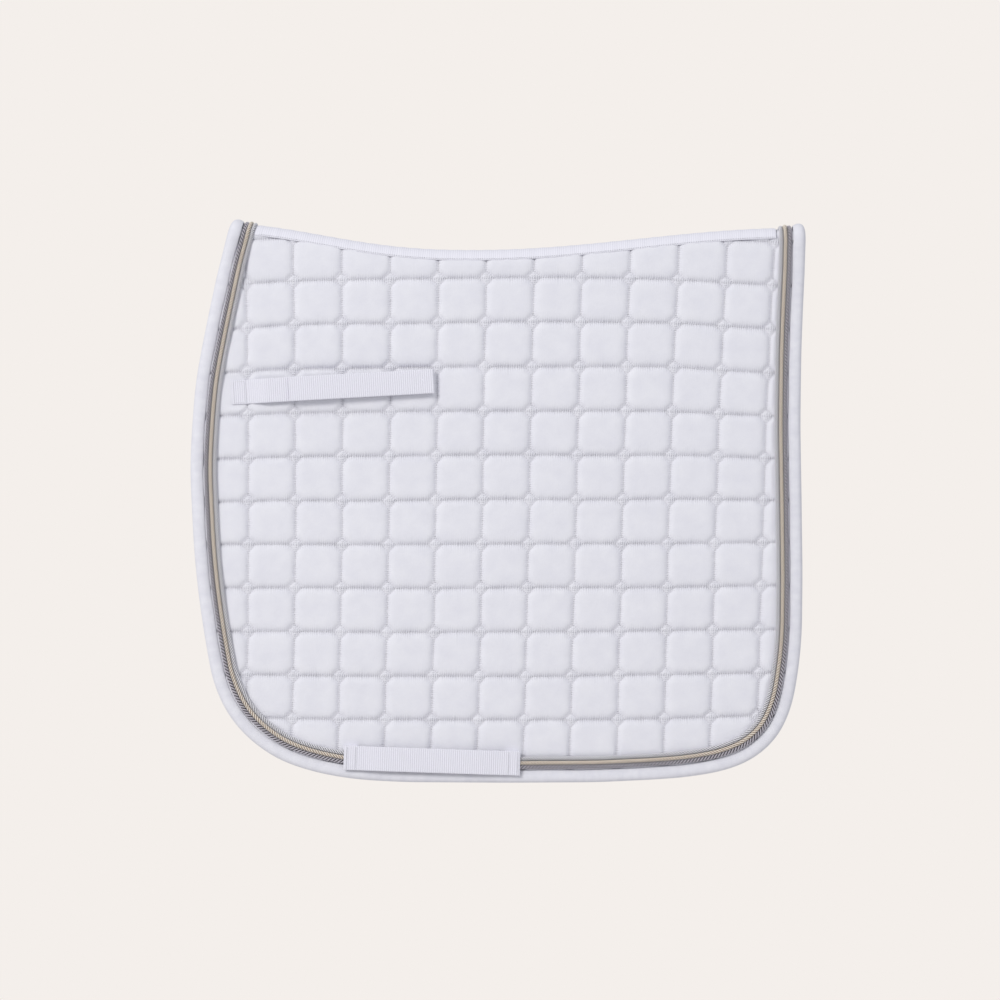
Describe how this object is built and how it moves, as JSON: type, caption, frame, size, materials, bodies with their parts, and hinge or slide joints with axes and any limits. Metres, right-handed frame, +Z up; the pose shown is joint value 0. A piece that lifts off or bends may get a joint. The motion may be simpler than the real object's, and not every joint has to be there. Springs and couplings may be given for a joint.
{
  "type": "saddle pad",
  "caption": "Quilted dressage saddle pad folded at its spine, with corded edge binding, girth keeper straps and hook-and-loop billet straps.",
  "frame": {"origin": "under the pad's spine, at mid-length on the centre line, level with the spine's lowest underside", "axes": "+X to the horse's tail, +Y to the far side, +Z up; the spine runs along X and the flaps hang down"},
  "size_m": [0.632, 0.0518, 0.582],
  "materials": {
    "cover_cotton": "satin-weave cotton, quilted",
    "lining_cotton": "matt quilted lining",
    "foam": "open-cell foam and wadding",
    "binding_cotton": "smooth padded edge roll",
    "dark_cord": "twisted rayon cord, low sheen",
    "champagne_cord": "twisted metallic yarn, sheen",
    "silver_cord": "twisted metallic yarn, sheen",
    "webbing": "ribbed grosgrain webbing",
    "spine_tape": "flat woven tape",
    "loop_tape": "soft loop pile",
    "hook_tape": "fine moulded hooks",
    "thread": "polyester sewing thread"
  },
  "bodies": {
    "spine": {"near_spine_lining": "lining_cotton", "near_spine_foam": "foam", "near_spine_cover": "cover_cotton", "far_spine_lining": "lining_cotton", "far_spine_foam": "foam", "far_spine_cover": "cover_cotton", "spine_tape": "spine_tape", "spine_lining_tape": "spine_tape", "spine_binding_front": "binding_cotton", "spine_dark_cord_front": "dark_cord", "spine_champagne_cord_front": "champagne_cord", "spine_silver_cord_front": "silver_cord", "spine_binding_rear": "binding_cotton", "spine_dark_cord_rear": "dark_cord", "spine_champagne_cord_rear": "champagne_cord", "spine_silver_cord_rear": "silver_cord"},
    "near_flap": {"near_lining": "lining_cotton", "near_foam": "foam", "near_cover": "cover_cotton", "near_binding": "binding_cotton", "near_dark_cord": "dark_cord", "near_champagne_cord": "champagne_cord", "near_silver_cord": "silver_cord", "near_girth_strap": "webbing", "near_girth_fold_front": "webbing", "near_girth_fold_rear": "webbing", "near_girth_stitching_front": "thread", "near_girth_stitching_rear": "thread", "near_billet_sewn_end": "webbing", "near_billet_stitching": "thread"},
    "near_billet_strap": {"near_billet_strap": "webbing", "near_billet_loop_tape": "loop_tape"},
    "near_billet_end": {"near_billet_hook_tape": "hook_tape", "near_billet_strap_end": "webbing"},
    "far_flap": {"far_lining": "lining_cotton", "far_foam": "foam", "far_cover": "cover_cotton", "far_binding": "binding_cotton", "far_dark_cord": "dark_cord", "far_champagne_cord": "champagne_cord", "far_silver_cord": "silver_cord", "far_girth_strap": "webbing", "far_girth_fold_front": "webbing", "far_girth_fold_rear": "webbing", "far_girth_stitching_front": "thread", "far_girth_stitching_rear": "thread", "far_billet_sewn_end": "webbing", "far_billet_stitching": "thread"},
    "far_billet_strap": {"far_billet_strap": "webbing", "far_billet_loop_tape": "loop_tape"},
    "far_billet_end": {"far_billet_hook_tape": "hook_tape", "far_billet_strap_end": "webbing"}
  },
  "joints": [
    {"name": "near_flap_swing", "type": "hinge", "parent": "spine", "child": "near_flap", "pos_m": [0, -0.0192, -0.0186], "axis": [-1, 0, 0], "range_deg": [0, 90]},
    {"name": "near_billet_strap_lift", "type": "hinge", "parent": "near_flap", "child": "near_billet_strap", "pos_m": [-0.25867, -0.015, -0.13714], "axis": [0.0558, 0, -0.9984], "range_deg": [0, 120]},
    {"name": "near_billet_end_peel", "type": "hinge", "parent": "near_billet_strap", "child": "near_billet_end", "pos_m": [-0.06548, -0.02025, -0.12634], "axis": [-0.0558, 0, 0.9984], "range_deg": [0, 170]},
    {"name": "far_flap_swing", "type": "hinge", "parent": "spine", "child": "far_flap", "pos_m": [0, 0.0192, -0.0186], "axis": [1, 0, 0], "range_deg": [0, 90]},
    {"name": "far_billet_strap_lift", "type": "hinge", "parent": "far_flap", "child": "far_billet_strap", "pos_m": [-0.25867, 0.015, -0.13714], "axis": [-0.0558, 0, 0.9984], "range_deg": [0, 120]},
    {"name": "far_billet_end_peel", "type": "hinge", "parent": "far_billet_strap", "child": "far_billet_end", "pos_m": [-0.06548, 0.02025, -0.12634], "axis": [0.0558, 0, -0.9984], "range_deg": [0, 170]}
  ]
}
